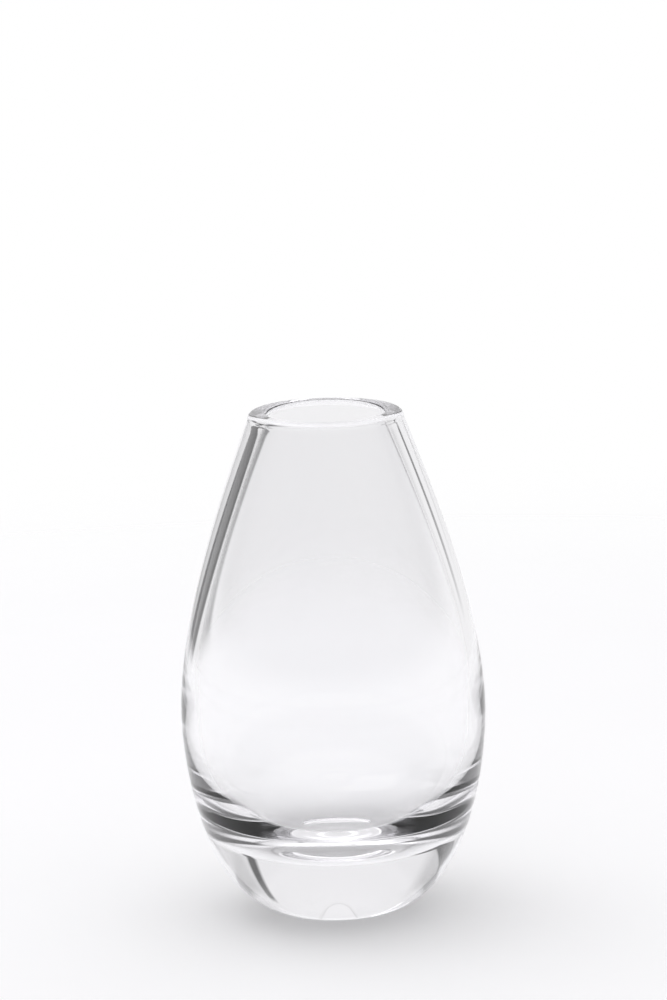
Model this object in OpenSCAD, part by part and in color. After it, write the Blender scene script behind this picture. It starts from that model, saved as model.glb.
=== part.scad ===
// Bud vase in clear glass: one piece, blown round, with a thick solid base.
// The whole vase is one outline turned about the Z axis. Z = 0 is the table that it stands on.

/* [Outside] */
// Height from the table to the top of the rim
vase_h = 150; // [125:1:190]
// Diameter at the widest point of the belly
belly_d = 90; // [76:1:110]
// Height of the widest point above the table
belly_z = 60; // [48:1:74]
// Diameter of the neck, measured where its slope would reach the top
neck_d = 44.5; // [37:0.5:56]
// Lean of the neck's wall from upright, in degrees
neck_lean = 19; // [12:1:24]
// How long the neck keeps near to that lean before it bends into the shoulder
neck_run = 13; // [4:1:24]
// How far the belly keeps near to upright above its widest point
shoulder_run = 32; // [18:1:38]
// How far the belly keeps near to upright below its widest point
haunch_run = 16; // [8:1:24]

/* [Foot] */
// Diameter of the flat that is ground and polished under the vase
foot_d = 32; // [24:1:38]
// Slope at which the underside leaves the flat, in degrees
foot_rise = 11; // [4:1:18]
// How far the underside keeps near to that slope
foot_run = 24; // [14:0.5:30]
// Width of the ring that the vase stands on, round the polished hollow
ring_w = 2; // [1:0.5:5]
// Depth of the polished hollow inside the ring
hollow_h = 3; // [1:0.5:4]

/* [Inside] */
// Thickness of the wall at the rim
rim_wall = 5.5; // [3.5:0.5:7]
// Thickness of the wall at the belly
belly_wall = 4.5; // [3:0.5:7]
// Height of the widest point of the inside above the table
cavity_z = 66; // [56:1:74]
// Thickness of the solid base, on the axis
base_h = 21; // [16:1:26]
// How far the inside keeps near to upright below its widest point
bowl_run = 32; // [22:1:34]
// How far the floor of the inside keeps near to level, out from the axis
floor_run = 31; // [20:1:33]

/* [Rim] */
// Radius that the fire gives the outer edge
lip_outer_r = 2; // [0.8:0.1:2.4]
// Radius that the fire gives the inner edge
lip_inner_r = 1.5; // [0.6:0.1:2]

/* [Smoothness] */
// Straight pieces in each long curve of the outline
curve_steps = 32; // [16:2:48]
// Straight pieces in each small round of the outline
round_steps = 8; // [4:1:12]
// Facets round the axis in the preview
turn_facets = 128; // [64:16:256]

/* [Hidden] */

belly_r = belly_d / 2;
foot_r = foot_d / 2;
ring_r = foot_r - ring_w;
neck_slope = tan(neck_lean);

// The neck's outer and inner wall where each edge starts to round over
lip_outer_z = vase_h - lip_outer_r;
neck_outer_r = neck_d / 2 + lip_outer_r * neck_slope;
lip_inner_z = vase_h - lip_inner_r;
neck_inner_r = neck_d / 2 - rim_wall + lip_inner_r * neck_slope;
cavity_r = belly_r - belly_wall;

// The inside bends into the shoulder at the same height as the outside
cavity_shoulder_run = max(10, belly_z + shoulder_run - cavity_z);

// Radius of the sphere that cuts the hollow under the foot
hollow_r = (ring_r * ring_r + hollow_h * hollow_h) / (2 * hollow_h);

// A point on the curve that leaves a towards b and reaches d from c
function bend(a, b, c, d, t) =
    pow(1 - t, 3) * a + 3 * pow(1 - t, 2) * t * b + 3 * (1 - t) * t * t * c + t * t * t * d;

// The whole curve, without its first point
function curve(a, b, c, d) = [for (i = [1:curve_steps]) bend(a, b, c, d, i / curve_steps)];

// A round of radius r about [x, z], without its first point
function round_off(x, z, r, from, to) = [
    for (i = [1:round_steps])
    let (angle = from + (to - from) * i / round_steps)
    [x + r * cos(angle), z + r * sin(angle)]
];

// Handles of the curves, each a run along the wall's direction. The foot's ends inside the belly.
neck_handle = neck_run * [sin(neck_lean), -cos(neck_lean)];
foot_reach = min(foot_run, (belly_r - foot_r) / cos(foot_rise));
foot_handle = foot_reach * [cos(foot_rise), sin(foot_rise)];

// The outside, from the edge of the foot up to the rim
foot_edge = [foot_r, 0];
outer_belly = [belly_r, belly_z];
outer_neck = [neck_outer_r, lip_outer_z];
outside = concat(
    [foot_edge],
    curve(foot_edge, foot_edge + foot_handle, outer_belly - [0, haunch_run], outer_belly),
    curve(outer_belly, outer_belly + [0, shoulder_run], outer_neck + neck_handle, outer_neck),
    round_off(neck_outer_r - lip_outer_r, lip_outer_z, lip_outer_r, 0, 90)
);

// The inside, from the rim down to the middle of its floor
inner_neck = [neck_inner_r, lip_inner_z];
inner_belly = [cavity_r, cavity_z];
cavity_floor = [0, base_h];
inside = concat(
    [[neck_inner_r + lip_inner_r, vase_h]],
    round_off(neck_inner_r + lip_inner_r, lip_inner_z, lip_inner_r, 90, 180),
    curve(inner_neck, inner_neck + neck_handle, inner_belly + [0, cavity_shoulder_run], inner_belly),
    curve(inner_belly, inner_belly - [0, bowl_run], cavity_floor + [floor_run, 0], cavity_floor)
);

module vase() {
    color([0.94, 0.95, 0.97, 0.35])
    difference() {
        rotate_extrude($fn = turn_facets) polygon(concat([[0, 0]], outside, inside));
        // Polished hollow, which leaves a ring to stand on
        translate([0, 0, hollow_h - hollow_r]) sphere(r = hollow_r, $fn = 2 * turn_facets);
    }
}

vase();
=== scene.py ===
# %% [markdown]
# # A glass bud vase on a light table
#
# The vase is one piece of clear glass: a thin wall round a drop-shaped hollow, and a thick solid base.
# Glass has no look of its own. What the eye sees is the room, bent through the wall and the base.
# So this lesson has three parts that carry equal weight: the exact shape of the glass, a material that
# bends light as glass does, and a studio with bright and dark parts for the glass to show.
# The sizes come from the finished model of the vase, which the frame brings in.

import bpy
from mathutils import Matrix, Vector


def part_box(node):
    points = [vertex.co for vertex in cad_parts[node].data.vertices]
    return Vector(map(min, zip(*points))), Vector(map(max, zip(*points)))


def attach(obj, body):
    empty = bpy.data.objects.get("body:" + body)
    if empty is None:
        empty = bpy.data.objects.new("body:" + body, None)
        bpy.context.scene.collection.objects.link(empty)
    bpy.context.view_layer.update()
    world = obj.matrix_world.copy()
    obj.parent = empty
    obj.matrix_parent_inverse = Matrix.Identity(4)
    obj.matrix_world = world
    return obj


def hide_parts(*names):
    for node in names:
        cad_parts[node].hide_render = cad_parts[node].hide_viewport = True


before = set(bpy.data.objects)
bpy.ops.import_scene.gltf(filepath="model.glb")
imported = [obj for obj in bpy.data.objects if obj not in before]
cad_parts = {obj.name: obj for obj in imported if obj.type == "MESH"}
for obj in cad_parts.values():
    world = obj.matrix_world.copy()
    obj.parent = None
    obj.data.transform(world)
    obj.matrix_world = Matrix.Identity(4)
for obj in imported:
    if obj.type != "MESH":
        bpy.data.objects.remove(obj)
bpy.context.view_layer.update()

import math

import bpy
import numpy as np
from mathutils import Matrix, Vector

MM = 0.001
VASE_NODE = "vase"
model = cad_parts[VASE_NODE]
low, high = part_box(VASE_NODE)
vase_h = high.z - low.z
belly_r = (high.x - low.x) / 2
print(f"the vase is {vase_h / MM:.1f} mm tall and {2 * belly_r / MM:.1f} mm across")

# %% [markdown]
# ## Reading the outline back
#
# A vase that is blown round is one outline carried about an axis, so the outline is all that has to be
# known. It could be typed in again as numbers, but then two descriptions of one vase could disagree.
# Instead the outline is read from the model: every corner of its mesh lies on the true surface, so its
# distance from the axis and its height are one point of the outline.
# The way that a face looks says which skin it belongs to. Away from the axis is the outside, towards it
# is the inside, and near the table it is the polished hollow under the foot. Faces that lie flat on the
# table, and slivers with no area, say nothing and are passed over.

# %% Read the outline
corners = np.array([v.co for v in model.data.vertices], float)
SAME = 0.0005 * MM
TINY_AREA = 1e-13
LEVEL = 0.9999
hollow_limit = 0.04 * vase_h
skins = {"hollow": set(), "outside": set(), "inside": set()}
for face in model.data.polygons:
    middle = corners[list(face.vertices)].mean(axis=0)
    if face.area < TINY_AREA or middle[2] < SAME:
        continue
    across = face.normal.x * middle[0] + face.normal.y * middle[1]
    if face.normal.z < 0 and across < 0 and middle[2] < hollow_limit:
        skin = "hollow"
    elif across > 0 and abs(face.normal.z) < LEVEL:
        skin = "outside"
    else:
        skin = "inside"
    for x, y, z in corners[list(face.vertices)]:
        skins[skin].add((round(math.hypot(x, y) / SAME) * SAME, round(z / SAME) * SAME))
print({name: len(found) for name, found in skins.items()})

# %% [markdown]
# ## Putting the outline in order
#
# The points come as a heap. Along the hollow the radius grows from nothing, up the outside the height
# grows, and down the inside the height falls, so one sort for each skin puts them in order. Two points
# that lie on top of each other are one, and a point in the middle of a straight piece is left out,
# because it says where the model's facet is and not where the glass is.
# The top of the lip is a narrow flat ring, and its outer edge ends the outside. The inside begins at its
# inner edge: if it began at the outer edge too, the smooth curve would swing above the rim there.


# %% Sort the points of each skin
def only_knots(heap, key, closest=0.02 * MM, straight=0.0015 * MM):
    """The heap in order, without repeats and without points inside a straight piece."""
    line = []
    for point in sorted(heap, key=key):
        if not line or math.dist(point, line[-1]) > closest:
            line.append(point)
    knots = np.array(line)
    before, here, after = knots[:-2], knots[1:-1], knots[2:]
    chord = after - before
    step = here - before
    off = np.abs(chord[:, 0] * step[:, 1] - chord[:, 1] * step[:, 0]) / np.hypot(*chord.T)
    return knots[np.concatenate([[True], off > straight, [True]])]


hollow = only_knots(skins["hollow"], key=lambda point: point[0])
outside = only_knots(skins["outside"], key=lambda point: point[1])
inside = only_knots(skins["inside"], key=lambda point: (-point[1], -point[0]))
if abs(inside[0][1] - outside[-1][1]) < SAME:
    inside = inside[1:]
ring_r, foot_r, base_h = hollow[-1][0], outside[0][0], inside[-1][1]
print(
    f"ring from {ring_r / MM:.1f} to {foot_r / MM:.1f} mm from the axis, "
    f"hollow {hollow[0][1] / MM:.1f} mm deep, base {base_h / MM:.1f} mm thick, "
    f"{len(hollow)}, {len(outside)} and {len(inside)} knots"
)

# %% [markdown]
# ## Rows of the new mesh
#
# Light that passes a coarse bend shows every facet, and glass shows it twice. A smooth curve through the
# knots gives as many rows as wanted, and they should be close together where the outline bends fast, at
# the lip, and may be far apart where it runs straight. So each small step along the curve is given a
# price, part length and part bend, and the rows are set at equal prices.
# The edges of the ground foot get two rows a tenth of a millimetre apart. That is the arris that
# polishing leaves, and it catches a thin line of light.


# %% Smooth curve and rows at equal prices
ROW_LENGTH = 2.4 * MM
ROW_BEND = math.radians(3)
ARRIS = 0.1 * MM
FINE = 24


def smooth(knots):
    """Many points on a curve that passes every knot without a kink."""
    steps = np.hypot(*np.diff(knots, axis=0).T)
    slopes = np.diff(knots, axis=0) / steps[:, None]
    share = (steps[1:] / (steps[:-1] + steps[1:]))[:, None]
    inner = slopes[:-1] * share + slopes[1:] * (1 - share)
    tangents = np.concatenate([[2 * slopes[0] - inner[0]], inner, [2 * slopes[-1] - inner[-1]]])
    t = np.linspace(0, 1, FINE, endpoint=False)[None, :, None]
    span = steps[:, None, None]
    a, b = knots[:-1, None], knots[1:, None]
    ta, tb = tangents[:-1, None] * span, tangents[1:, None] * span
    curve = (
        (2 * t**3 - 3 * t**2 + 1) * a
        + (t**3 - 2 * t**2 + t) * ta
        + (3 * t**2 - 2 * t**3) * b
        + (t**3 - t**2) * tb
    )
    return np.concatenate([curve.reshape(-1, 2), knots[-1:]])


def rows(knots, arris_first=False, arris_last=False):
    """Rows along the smooth curve, close where it bends, with an arris row near an end if asked."""
    curve = smooth(knots)
    steps = np.diff(curve, axis=0)
    lengths = np.hypot(*steps.T)
    heading = np.unwrap(np.arctan2(steps[:, 1], steps[:, 0]))
    bend = np.abs(np.gradient(heading))
    price = np.concatenate([[0], np.cumsum(lengths / ROW_LENGTH + bend / ROW_BEND)])
    along = np.concatenate([[0], np.cumsum(lengths)])
    where = np.interp(np.linspace(0, price[-1], round(price[-1]) + 1), price, along)
    extra = [ARRIS] * arris_first + [along[-1] - ARRIS] * arris_last
    where = np.sort(np.concatenate([where, extra]))
    return np.stack([np.interp(where, along, curve[:, i]) for i in (0, 1)], axis=1)


hollow[0][0] = 0
inside[-1][0] = 0
under = rows(hollow, arris_last=True)
ring = np.array([[ring_r + ARRIS, 0], [(ring_r + foot_r) / 2, 0], [foot_r - ARRIS, 0]])
outer = rows(outside, arris_first=True)
inner = rows(inside)
outline = np.concatenate([under, ring, outer, inner])
print(
    f"{len(under)} rows under the foot, {len(ring)} on the ring, "
    f"{len(outer)} outside, {len(inner)} inside"
)

# %% [markdown]
# ## How freely each skin took its shape
#
# The outside of blown glass is shaped against a wet block, so it is true. The inside touches nothing:
# the breath alone shapes it, and it waves a little, most of all on the floor of the hollow where the
# glass is thick and stays soft. Each row carries one number, called loose, from 0, true, to 1, free.
# It rides on the outline as an attribute, and the lathe below reads it.

# %% Give the rows their looseness and make the outline a mesh
FIRM_ABOVE = 0.62 * vase_h
LOOSENING = 1.5
loose = np.zeros(len(outline))
first_inner = len(outline) - len(inner)
depth_share = np.clip((FIRM_ABOVE - inner[:, 1]) / (FIRM_ABOVE - base_h), 0, 1)
loose[first_inner:] = depth_share**LOOSENING
outline_mesh = bpy.data.meshes.new("vase_outline")
outline_mesh.from_pydata(
    [(r, 0, z) for r, z in outline], [(i, i + 1) for i in range(len(outline) - 1)], []
)
loose_attribute = outline_mesh.attributes.new("loose", "FLOAT", "POINT")
loose_attribute.data.foreach_set("value", loose.astype(np.float32))
vase_lathe = bpy.data.objects.new("vase_lathe", outline_mesh)
bpy.context.scene.collection.objects.link(vase_lathe)
print(f"the outline has {len(outline)} rows, and {int((loose > 0).sum())} of them are loose")

# %% [markdown]
# ## A small helper for node trees
#
# Node trees can be drawn by hand or written down. Written down, sums read best as sums. The class below
# wraps one socket, so that 1 - mask adds a Math node by itself. Every other node comes from one method
# that takes the node's type, its settings, which are set first, and the values or links of its sockets.


# %% Socket sums and the node method
class Sum:
    """A socket that Python can calculate with. Each operator adds one Math node."""

    def __init__(self, graph, socket):
        self.graph, self.socket = graph, socket

    def math(self, operation, *values, clamp=False):
        settings = {"operation": operation, "use_clamp": clamp}
        return self.graph.add("ShaderNodeMath", settings, dict(enumerate(values)))

    def __add__(self, other):
        return self.math("ADD", self, other)

    __radd__ = __add__

    def __mul__(self, other):
        return self.math("MULTIPLY", self, other)

    __rmul__ = __mul__

    def __sub__(self, other):
        return self.math("SUBTRACT", self, other)

    def __rsub__(self, other):
        return self.math("SUBTRACT", other, self)

    def __truediv__(self, other):
        return self.math("DIVIDE", self, other)

    def __rtruediv__(self, other):
        return self.math("DIVIDE", other, self)

    def __mod__(self, other):
        return self.math("FLOORED_MODULO", self, other)

    def clamped(self):
        return self.math("ADD", self, 0, clamp=True)

    def highest(self, other):
        return self.math("MAXIMUM", self, other)


class Graph:
    """A node tree with one way to add a node."""

    def __init__(self, tree):
        self.tree = tree

    def add(self, kind, settings=None, inputs=None, output=0):
        """Adds a node and returns one of its outputs, or the node itself where output is None."""
        node = self.tree.nodes.new(kind)
        for name, value in (settings or {}).items():
            setattr(node, name, value)
        for key, value in (inputs or {}).items():
            if isinstance(value, Sum):
                value = value.socket
            if isinstance(value, bpy.types.NodeSocket):
                self.tree.links.new(value, node.inputs[key])
            else:
                node.inputs[key].default_value = value
        return node if output is None else Sum(self, node.outputs[output])

    def parts(self, vector):
        """The three numbers of a vector."""
        node = self.add("ShaderNodeSeparateXYZ", inputs={0: vector}, output=None)
        return [Sum(self, socket) for socket in node.outputs]


print("socket sums are ready")

# %% [markdown]
# ## The lathe
#
# A vase could be made with the Screw modifier or with a spin in Edit Mode. Both turn the outline, and
# neither lets the turned surface be touched before it is finished. Geometry Nodes do both jobs in one
# tree. A flat grid has one column for each step round the axis and one row for each point of the
# outline, so every corner of it can look up its own row by its index. The corner then moves to that
# row's radius and height, at its column's angle. The last column lands on the first, and merging closes
# the seam and both poles. After that the inside is pushed in and out by a soft noise, as far as its row
# is loose. The sizes are inputs with names, so the tree works for any vase.

# %% Build the lathe's node tree
lathe = bpy.data.node_groups.new("Lathe with a free inside", "GeometryNodeTree")
lathe_inputs = {}
for label, kind in (
    ("Outline", "NodeSocketGeometry"),
    ("Steps round", "NodeSocketInt"),
    ("Wave height", "NodeSocketFloat"),
    ("Wave length", "NodeSocketFloat"),
    ("Seed", "NodeSocketInt"),
    ("Glass", "NodeSocketMaterial"),
):
    made = lathe.interface.new_socket(label, in_out="INPUT", socket_type=kind)
    lathe_inputs[label] = made.identifier
lathe.interface.new_socket("Vase", in_out="OUTPUT", socket_type="NodeSocketGeometry")
g = Graph(lathe)
given_node = g.add("NodeGroupInput", output=None)
given = {label: Sum(g, given_node.outputs[label]) for label in lathe_inputs}

row_count_node = g.add(
    "GeometryNodeAttributeDomainSize", {"component": "MESH"}, {0: given["Outline"]}, None
)
row_count = Sum(g, row_count_node.outputs["Point Count"])
grid = g.add(
    "GeometryNodeMeshGrid",
    inputs={
        "Size X": 1.0,
        "Size Y": 1.0,
        "Vertices X": given["Steps round"] + 1,
        "Vertices Y": row_count,
    },
)
index = g.add("GeometryNodeInputIndex")
row = index % row_count
column = (index - row) / row_count
angle = column * math.tau / given["Steps round"]
print(f"the lathe takes {', '.join(lathe_inputs)}")

# %% [markdown]
# The outline is sampled at the row, once for its place and once for how loose it is. Both are stored on
# the grid before it moves, because after the merge the index no longer says which row a corner is on.

# %% Move the grid onto the outline and close it
position = g.add("GeometryNodeInputPosition")
place = g.add(
    "GeometryNodeSampleIndex",
    {"data_type": "FLOAT_VECTOR", "domain": "POINT"},
    {"Geometry": given["Outline"], "Value": position, "Index": row},
)
loose_named = g.add("GeometryNodeInputNamedAttribute", {"data_type": "FLOAT"}, {"Name": "loose"})
loose_here = g.add(
    "GeometryNodeSampleIndex",
    {"data_type": "FLOAT", "domain": "POINT"},
    {"Geometry": given["Outline"], "Value": loose_named, "Index": row},
)
radius, _, height = g.parts(place)
turned_place = g.add(
    "ShaderNodeCombineXYZ",
    inputs={
        "X": radius * radius.math("COSINE", angle),
        "Y": radius * radius.math("SINE", angle),
        "Z": height,
    },
)
marked = g.add(
    "GeometryNodeStoreNamedAttribute",
    {"data_type": "FLOAT", "domain": "POINT"},
    {"Geometry": grid, "Name": "loose", "Value": loose_here},
)
rounded = g.add("GeometryNodeSetPosition", inputs={"Geometry": marked, "Position": turned_place})
MERGE_WITHIN = 0.002 * MM
closed = g.add("GeometryNodeMergeByDistance", inputs={"Geometry": rounded, "Distance": MERGE_WITHIN})
print("the grid is turned into a closed skin")

# %% [markdown]
# The wave is a noise that is read at each corner's own place, so it is the same on both sides of the
# seam and at the poles, and one seed always gives the same vase. It pushes along the skin's own
# direction. Two nodes close the tree: one turns any instances into real mesh, and one gives the glass.

# %% Wave the inside, smooth the shading and end the tree
SEED_STEP = 7.3
scaled = g.add(
    "ShaderNodeVectorMath", {"operation": "SCALE"}, {0: position, "Scale": 1 / given["Wave length"]}
)
noise = g.add(
    "ShaderNodeTexNoise",
    {"noise_dimensions": "4D"},
    {"Vector": scaled, "W": given["Seed"] * SEED_STEP, "Scale": 1.0, "Detail": 1.0},
)
loose_kept = g.add("GeometryNodeInputNamedAttribute", {"data_type": "FLOAT"}, {"Name": "loose"})
push = (noise - 0.5) * 2 * given["Wave height"] * loose_kept
offset = g.add(
    "ShaderNodeVectorMath", {"operation": "SCALE"}, {0: g.add("GeometryNodeInputNormal"), "Scale": push}
)
waved = g.add("GeometryNodeSetPosition", inputs={"Geometry": closed, "Offset": offset})
shaded = g.add("GeometryNodeSetShadeSmooth", inputs={"Geometry": waved, "Shade Smooth": True})
real = g.add("GeometryNodeRealizeInstances", inputs={"Geometry": shaded})
coated = g.add("GeometryNodeSetMaterial", inputs={"Geometry": real, "Material": given["Glass"]})
g.add("NodeGroupOutput", inputs={0: coated}, output=None)
print(f"the lathe has {len(lathe.nodes)} nodes")

# %% [markdown]
# ## Clear glass
#
# Clear glass is one Principled shader with full transmission. Its index, 1.5, is that of ordinary soda
# glass, and it bends the room into the thick base. Three things keep it from looking like a formula.
# The skin is not quite flat: the hot glass ran in long soft cords, which a very low bump gives.
# A film from washing and hands takes a trace of gloss here and there. And the ring under the foot was
# ground and then polished, so it stays a little grey and scratched.
# The glass is not quite without colour either. Makers add manganese to hide the green of iron, and
# looking through much of it shows a faint lilac, so the tint belongs in the depth of the glass, as
# absorption, and hardly on its skin.

# %% Start the glass and find the places on it
clear_glass = bpy.data.materials.new("clear_glass")
clear_glass.use_nodes = True
clear_glass.node_tree.nodes.clear()
m = Graph(clear_glass.node_tree)
here = m.add("ShaderNodeTexCoord", output="Object")
across, along, up = m.parts(here)


def glass_noise(size, detail, stretch=(1.0, 1.0, 1.0)):
    """Soft noise in lumps of the given size in metres. A stretch below 1 makes them longer that way."""
    placed = m.add("ShaderNodeMapping", {"vector_type": "POINT"}, {"Vector": here, "Scale": stretch})
    settings = {"noise_dimensions": "3D"}
    return m.add("ShaderNodeTexNoise", settings, {"Vector": placed, "Scale": 1 / size, "Detail": detail})


RING_HEIGHT = 0.25 * MM
CORD_SIZE, FILM_SIZE, SCRATCH_SIZE = 26 * MM, 18 * MM, 0.5 * MM
FILM_CONTRAST, FILM_CUT = 5, 2.9
ground = (1 - up / RING_HEIGHT).clamped()
cords = glass_noise(CORD_SIZE, 1.0, (1.0, 1.0, 0.45))
film = (glass_noise(FILM_SIZE, 3.0) * FILM_CONTRAST - FILM_CUT).clamped()
scratches = glass_noise(SCRATCH_SIZE, 4.0, (1.0, 5.0, 1.0))
print("places on the glass: cords, film, ground ring and its scratches")

# %% [markdown]
# The three patterns now go to the colour, the roughness and the bump. Everything that is the same all
# over, such as the transmission and the index, is set on the shader itself. The cords are only a
# hundredth of a millimetre high. That seems nothing, but they tilt the skin, and a tilted skin
# bends every line that is seen through it.

# %% Colour, roughness and bump
CORD_HEIGHT = 0.012 * MM
SCRATCH_HEIGHT = 0.006 * MM
GROUND_ROUGH, SCRATCH_ROUGH, FILM_ROUGH = 0.1, 0.2, 0.025
CLEAR, HARDLY_TINTED = (1.0, 1.0, 1.0, 1), (0.984, 0.984, 0.992, 1)
tint = m.add("ShaderNodeMix", {"data_type": "RGBA"}, {0: cords, 6: CLEAR, 7: HARDLY_TINTED}, 2)
roughness = ground * (GROUND_ROUGH + scratches * SCRATCH_ROUGH) + film * FILM_ROUGH
relief = cords + ground * scratches * (SCRATCH_HEIGHT / CORD_HEIGHT)
bump = m.add("ShaderNodeBump", inputs={"Height": relief, "Distance": CORD_HEIGHT, "Strength": 1.0})
glass_skin = m.add(
    "ShaderNodeBsdfPrincipled",
    inputs={
        "Base Color": tint,
        "Roughness": roughness,
        "Normal": bump,
        "IOR": 1.5,
        "Transmission Weight": 1.0,
    },
)
LILAC, LILAC_DENSITY = (0.72, 0.70, 0.76, 1), 2.2
lilac = m.add("ShaderNodeVolumeAbsorption", inputs={"Color": LILAC, "Density": LILAC_DENSITY})
m.add("ShaderNodeOutputMaterial", inputs={"Surface": glass_skin, "Volume": lilac}, output=None)
print(f"the glass has {len(clear_glass.node_tree.nodes)} nodes")

# %% [markdown]
# ## Turning the vase
#
# The tree runs as a modifier. Its inputs are set by their identifiers before anything looks at the
# object, because that look is the first evaluation. The evaluated result is then taken as a plain mesh
# of its own, and the lathe with its modifier is thrown away. What is left is an ordinary object that
# stands at the origin, as the model does. The grid brings an empty material slot with it, which goes.

# %% Run the lathe and keep a plain mesh
STEPS_ROUND = 320
settings = {
    "Steps round": STEPS_ROUND,
    "Wave height": 0.22 * MM,
    "Wave length": 30 * MM,
    "Seed": 4,
    "Glass": clear_glass,
}
turning = vase_lathe.modifiers.new("lathe", "NODES")
turning.node_group = lathe
for label, value in settings.items():
    turning[lathe_inputs[label]] = value
depsgraph = bpy.context.evaluated_depsgraph_get()
turned = vase_lathe.evaluated_get(depsgraph)
turned_mesh = bpy.data.meshes.new_from_object(turned, depsgraph=depsgraph)
bpy.data.objects.remove(vase_lathe)
turned_mesh.name = "vase_glass"
vase_glass = bpy.data.objects.new("vase_glass", turned_mesh)
bpy.context.scene.collection.objects.link(vase_glass)
while turned_mesh.materials[0] is None:
    turned_mesh.materials.pop(index=0)
triangles = sum(len(face.vertices) - 2 for face in turned_mesh.polygons)
print(f"the vase has {triangles} triangles, and its material is {turned_mesh.materials[0].name}")

# %% [markdown]
# ## Is it closed, and how much glass does it hold?
#
# A skin with a hole or with its faces turned inwards would bend light wrongly, and the eye may not find
# the fault. Arithmetic does. In a closed skin every edge has two faces, and the volume that the faces
# enclose is positive when they look outwards. Glass weighs 2.5 grams for each millilitre.

# %% Measure the skin
import bmesh

ML_PER_CUBIC_METRE = 1e6
GRAMS_PER_ML = 2.5
skin = bmesh.new()
skin.from_mesh(turned_mesh)
open_edges = sum(1 for edge in skin.edges if len(edge.link_faces) != 2)
glass_volume = skin.calc_volume(signed=True)
skin.free()
glass_ml = glass_volume * ML_PER_CUBIC_METRE
print(f"{open_edges} open edges, {glass_ml:.1f} ml of glass, {glass_ml * GRAMS_PER_ML:.0f} g")
if open_edges or glass_volume <= 0:
    raise RuntimeError("the glass isn't a closed skin that faces outwards")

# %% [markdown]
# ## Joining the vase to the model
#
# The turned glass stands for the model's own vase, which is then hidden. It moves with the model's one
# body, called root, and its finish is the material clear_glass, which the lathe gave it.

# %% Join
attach(vase_glass, "root")
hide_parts(VASE_NODE)
print(f"{vase_glass.name} stands for {VASE_NODE}")

# %% [markdown]
# ## The table
#
# Clear glass is best shown on a pale surface that gives a little light of its own, a light table, so
# that the foot doesn't stand in its own shade. The table is one flat disc. Near the vase it is matt and
# pale, with the slightest unevenness, and further out it thins to nothing, so there is no edge and no
# horizon, and the glass can see the studio beyond it.

# %% Make the table
TABLE_RADIUS = 1.2
TABLE_DROP = 0.2 * MM
FADE_FROM, FADE_TO = 0.35, 0.7
TABLE_CORNERS = 96
rim = [math.tau * i / TABLE_CORNERS for i in range(TABLE_CORNERS)]
table_mesh = bpy.data.meshes.new("table")
table_mesh.from_pydata(
    [(TABLE_RADIUS * math.cos(a), TABLE_RADIUS * math.sin(a), -TABLE_DROP) for a in rim],
    [],
    [tuple(range(TABLE_CORNERS))],
)
table = bpy.data.objects.new("table", table_mesh)
bpy.context.scene.collection.objects.link(table)

TABLE_GLOW = 0.24
CLOUDS_PER_METRE = 9.0
PALE, PALER = (0.78, 0.78, 0.79, 1), (0.80, 0.80, 0.81, 1)
matt = bpy.data.materials.new("table_matt")
matt.use_nodes = True
matt.node_tree.nodes.clear()
t = Graph(matt.node_tree)
spot = t.add("ShaderNodeTexCoord", output="Object")
far = t.add("ShaderNodeVectorMath", {"operation": "LENGTH"}, {0: spot}, "Value")
fade = t.add(
    "ShaderNodeMapRange",
    {"interpolation_type": "SMOOTHSTEP"},
    {"Value": far, "From Min": FADE_FROM, "From Max": FADE_TO},
)
cloud = t.add("ShaderNodeTexNoise", inputs={"Vector": spot, "Scale": CLOUDS_PER_METRE, "Detail": 2.0})
pale = t.add("ShaderNodeMix", {"data_type": "RGBA"}, {0: cloud, 6: PALER, 7: PALE}, 2)
surface = t.add(
    "ShaderNodeBsdfPrincipled",
    inputs={
        "Base Color": pale,
        "Roughness": 0.7,
        "Specular IOR Level": 0.0,
        "Emission Color": (1.0, 0.995, 1.0, 1),
        "Emission Strength": TABLE_GLOW,
    },
)
nothing = t.add("ShaderNodeBsdfTransparent")
faded = t.add("ShaderNodeMixShader", inputs={0: fade, 1: surface, 2: nothing})
t.add("ShaderNodeOutputMaterial", inputs={"Surface": faded}, output=None)
table_mesh.materials.append(matt)
print(f"the table is {2 * TABLE_RADIUS:.1f} m across and thins out from {FADE_FROM} m")

# %% [markdown]
# ## The studio
#
# Glass in an even white room can't be seen at all. A studio gives it edges with flags, strips of
# black card that stand beside the bright background, and lets the front of the room stay dark. The
# flags turn up as the thin dark lines in the neck and as the two dark strokes in the base, and the dark
# front fills the sides of the base, while the bright back fills its middle.
# Here the whole studio is one world. A direction is turned into a turn, 0 behind the vase and 90 to its
# right, and a rise above the table, both in degrees. Each card is a window in turn and rise. The left
# card leans outwards, so that its middle turns further to the side the higher it is. Between the bright
# back and the dark front the room is a little dusky, which softens the outer edges of the base.


# %% Describe the studio
studio = bpy.data.worlds.new("studio")
bpy.context.scene.world = studio
studio.use_nodes = True
studio.node_tree.nodes.clear()
w = Graph(studio.node_tree)
x, y, z = w.parts(w.add("ShaderNodeTexCoord", output="Generated"))
turn = x.math("ARCTAN2", x, y) * (180 / math.pi)
rise = z.math("ARCSINE", z) * (180 / math.pi)


def window(value, start, end, soft):
    """1 between start and end, 0 outside, with soft edges."""
    opens = ((value - (start - soft / 2)) / soft).clamped()
    closes = (((end + soft / 2) - value) / soft).clamped()
    return opens * closes


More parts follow.
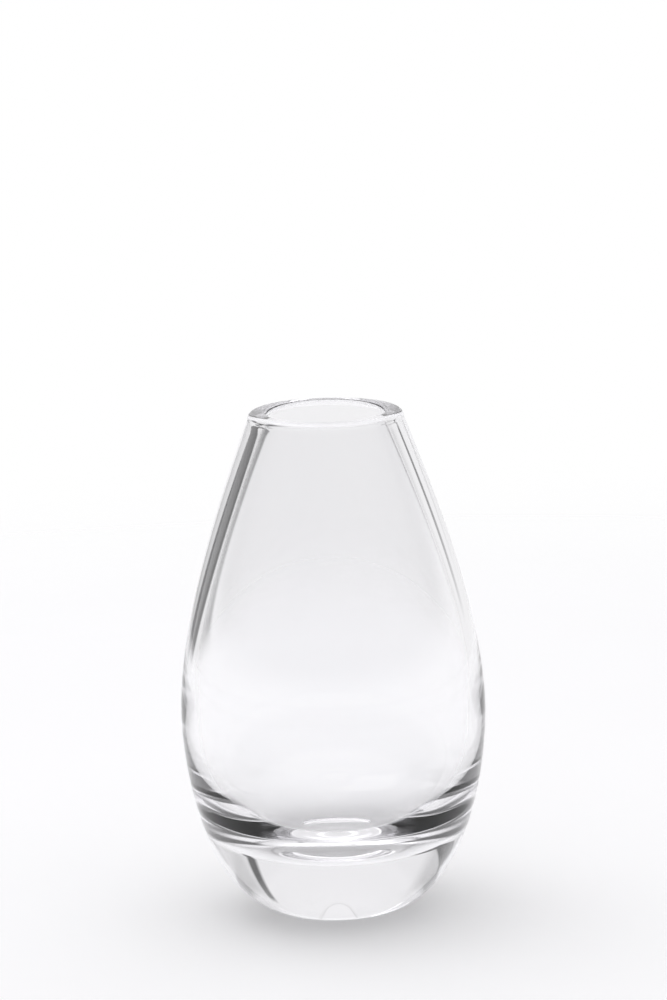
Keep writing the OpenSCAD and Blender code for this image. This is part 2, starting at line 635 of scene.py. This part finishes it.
DUSK_FROM, FRONT_FROM, PAST_FRONT = 36, 62, 400
FRONT_DARK, DUSK_DARK = 0.95, 0.28
ROOM_TOP, CARD_TOP = 37, 38
flags = [
    {"turn": -32, "lean": -1.0, "half": 7.5, "from": -90},
    {"turn": 30.5, "lean": 0.1, "half": 2.4, "from": -2},
]
to_side = turn.math("ABSOLUTE", turn)
front = window(to_side, FRONT_FROM, PAST_FRONT, 20) * window(rise, 3, ROOM_TOP, 8) * FRONT_DARK
dusk = window(to_side, DUSK_FROM, FRONT_FROM, 8) * window(rise, 8, ROOM_TOP, 8) * DUSK_DARK
dark = front.highest(dusk)
for flag in flags:
    off = turn - (rise * flag["lean"] + flag["turn"])
    card = window(off, -flag["half"], flag["half"], 2) * window(rise, flag["from"], CARD_TOP, 6)
    dark = dark.highest(card)
print(f"{len(flags)} flags and a dark front")

# %% [markdown]
# The roof is brighter than the back, as a large soft lamp over the table would make it, and it lights
# the table. What the camera sees straight, past the glass, is plain white.

# %% Light the studio
BACK, CARD, ROOF = 0.9, 0.11, 1.7
ROOF_FROM, ROOF_FULL = 50, 80
ROOM_TONE = (0.995, 0.99, 1.0)
roof = ((rise - ROOF_FROM) / (ROOF_FULL - ROOF_FROM)).clamped()
light = BACK - dark * (BACK - CARD) + roof * (ROOF - BACK)
colour = w.add("ShaderNodeVectorMath", {"operation": "SCALE"}, {0: ROOM_TONE, "Scale": light})
seen_in_glass = w.add("ShaderNodeBackground", inputs={"Color": colour, "Strength": 1.0})
seen_straight = w.add("ShaderNodeBackground", inputs={"Color": (1, 1, 1, 1), "Strength": 1.0})
straight = w.add("ShaderNodeLightPath", output="Is Camera Ray")
both = w.add("ShaderNodeMixShader", inputs={0: straight, 1: seen_in_glass, 2: seen_straight})
w.add("ShaderNodeOutputWorld", inputs={"Surface": both}, output=None)

lamp_data = bpy.data.lights.new("soft_box", "AREA")
lamp_data.shape = "SQUARE"
lamp_data.size = 0.7
lamp_data.energy = 1.5
lamp = bpy.data.objects.new("soft_box", lamp_data)
lamp.location = (-0.45, 0.25, 1.15)
lamp.rotation_euler = Vector(lamp.location).to_track_quat("Z", "Y").to_euler()
bpy.context.scene.collection.objects.link(lamp)
print(f"back {BACK}, cards {CARD}, roof {ROOF}, and a soft box of {lamp_data.energy} W")

# %% [markdown]
# ## The camera
#
# The vase is seen from a little above, through a long lens from a metre and a half away, so it has hardly
# any perspective. The camera looks at a point high in the vase, because the picture leaves room above
# the rim, and it hangs a degree and a half off level.

# %% Place the camera
DISTANCE = 1.5
RISE_OF_VIEW = math.radians(13.2)
TILT = math.radians(-1.54)
LENS_PER_SENSOR = 5.079
SENSOR = 36
AIM = Vector((0.0017, 0, 0.1232))
middle_of_vase = Vector((0, 0, vase_h / 2))
stand = middle_of_vase + DISTANCE * Vector((0, -math.cos(RISE_OF_VIEW), math.sin(RISE_OF_VIEW)))
camera_data = bpy.data.cameras.new("camera")
camera_data.sensor_width = SENSOR
camera_data.lens = LENS_PER_SENSOR * SENSOR
camera = bpy.data.objects.new("camera", camera_data)
look = (AIM - stand).to_track_quat("-Z", "Y").to_matrix().to_4x4()
camera.matrix_world = Matrix.Translation(stand) @ look @ Matrix.Rotation(TILT, 4, "Z")
bpy.context.scene.collection.objects.link(camera)
bpy.context.scene.camera = camera
print(f"the camera stands {stand.length:.2f} m away with a {camera_data.lens:.0f} mm lens")

# %% [markdown]
# ## How light is followed
#
# A ray that reaches the base may meet the glass ten times before it leaves. If it is dropped earlier, the
# base fills with black spots that real glass doesn't have, so the bounces are many. The colours are
# shown as they are, without a film curve, because the whites are to stay white.

# %% Settings for glass
BOUNCES = 24
scene = bpy.context.scene
scene.view_settings.view_transform = "Standard"
scene.view_settings.look = "None"
scene.cycles.use_denoising = True
for kind in ("max_bounces", "transmission_bounces", "transparent_max_bounces", "glossy_bounces"):
    setattr(scene.cycles, kind, BOUNCES)
print(f"light is followed through {scene.cycles.max_bounces} bounces")
